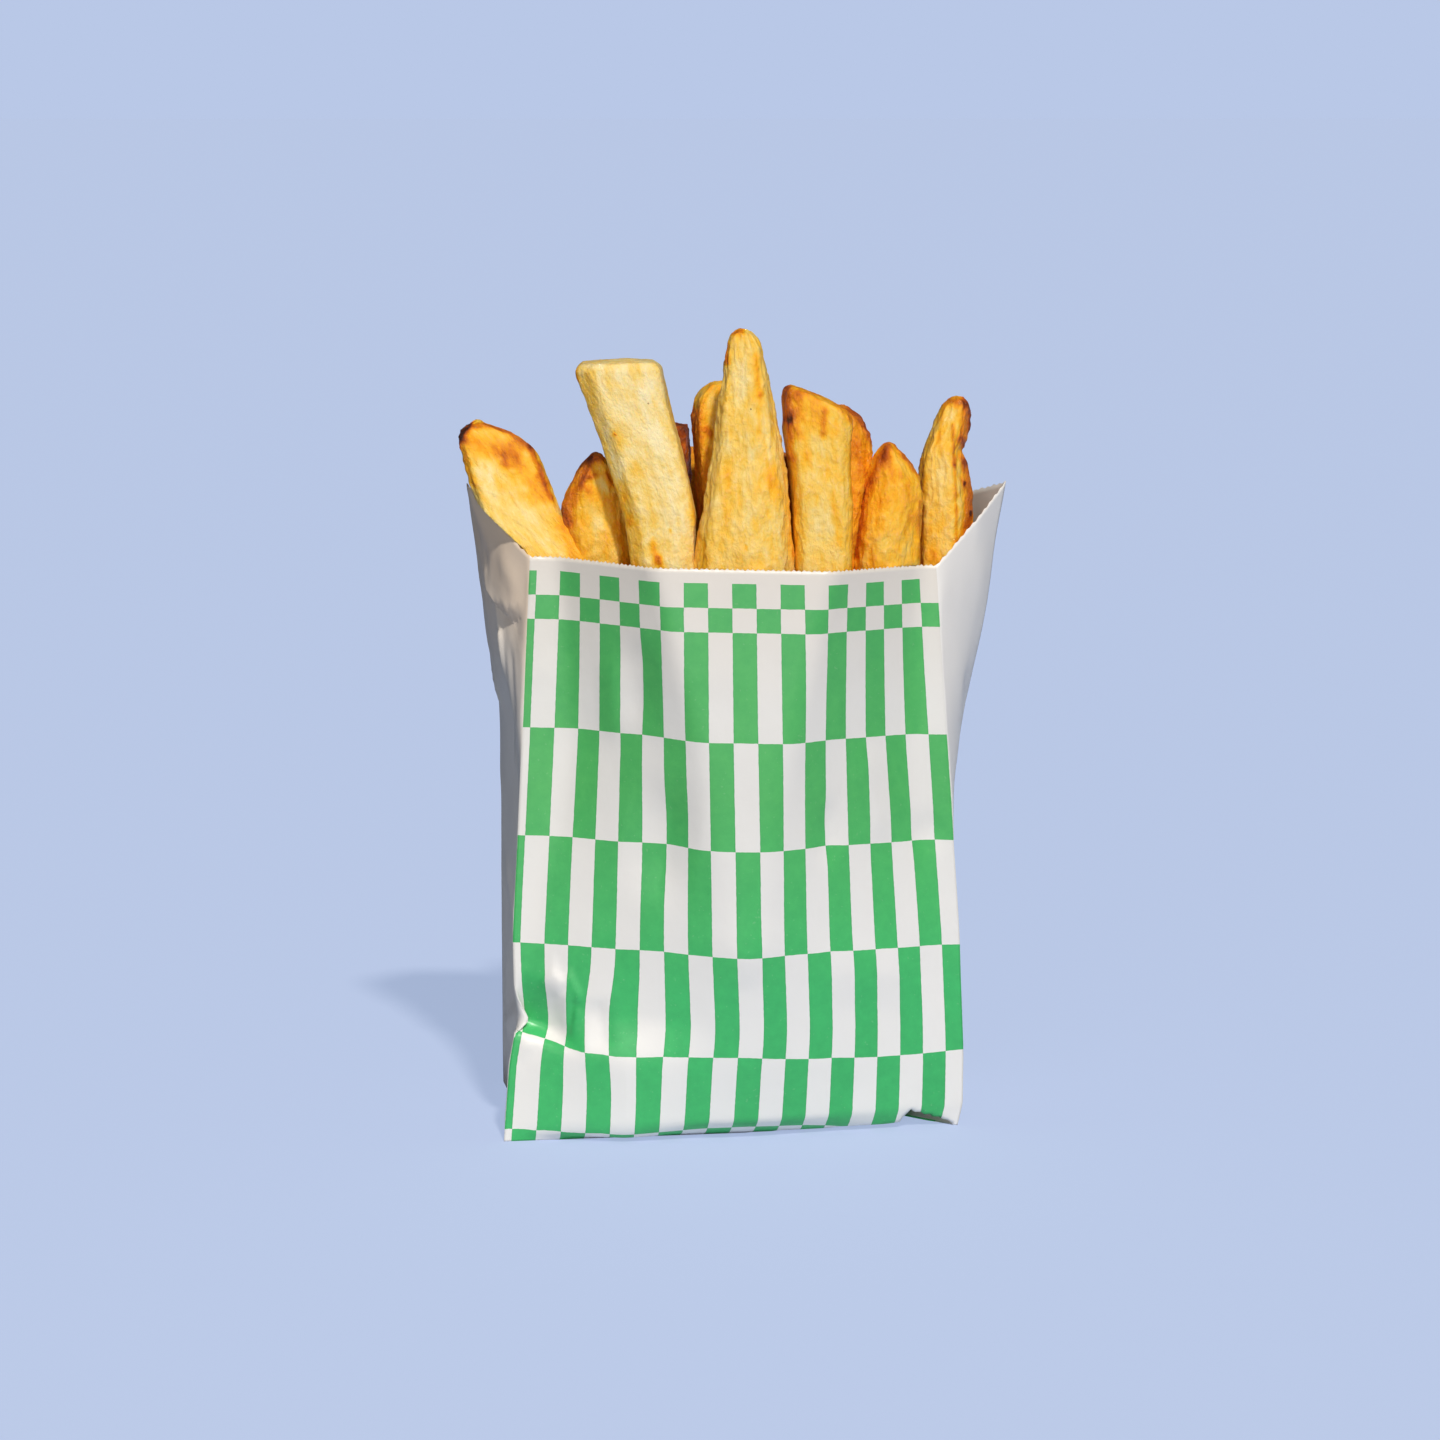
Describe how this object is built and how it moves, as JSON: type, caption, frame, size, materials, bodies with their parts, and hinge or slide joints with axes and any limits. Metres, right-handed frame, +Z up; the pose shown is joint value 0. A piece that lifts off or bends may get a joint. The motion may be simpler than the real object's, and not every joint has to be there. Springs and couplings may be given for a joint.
{
  "type": "french fries in paper bag",
  "caption": "Chunky french fries standing upright in a small gusseted paper bag with a green and white check and stripe print.",
  "frame": {"origin": "centre of the bounding box in plan, at the bottom of the bag", "axes": "+Z up along the bag, the printed front panel faces -Y, +X to the right as seen from the front"},
  "size_m": [0.1201, 0.0678, 0.1789],
  "materials": {
    "printed_paper": "matte",
    "fried_potato": "satin"
  },
  "bodies": {
    "root": {"paper_bag": "printed_paper", "fries": "fried_potato"}
  },
  "joints": []
}
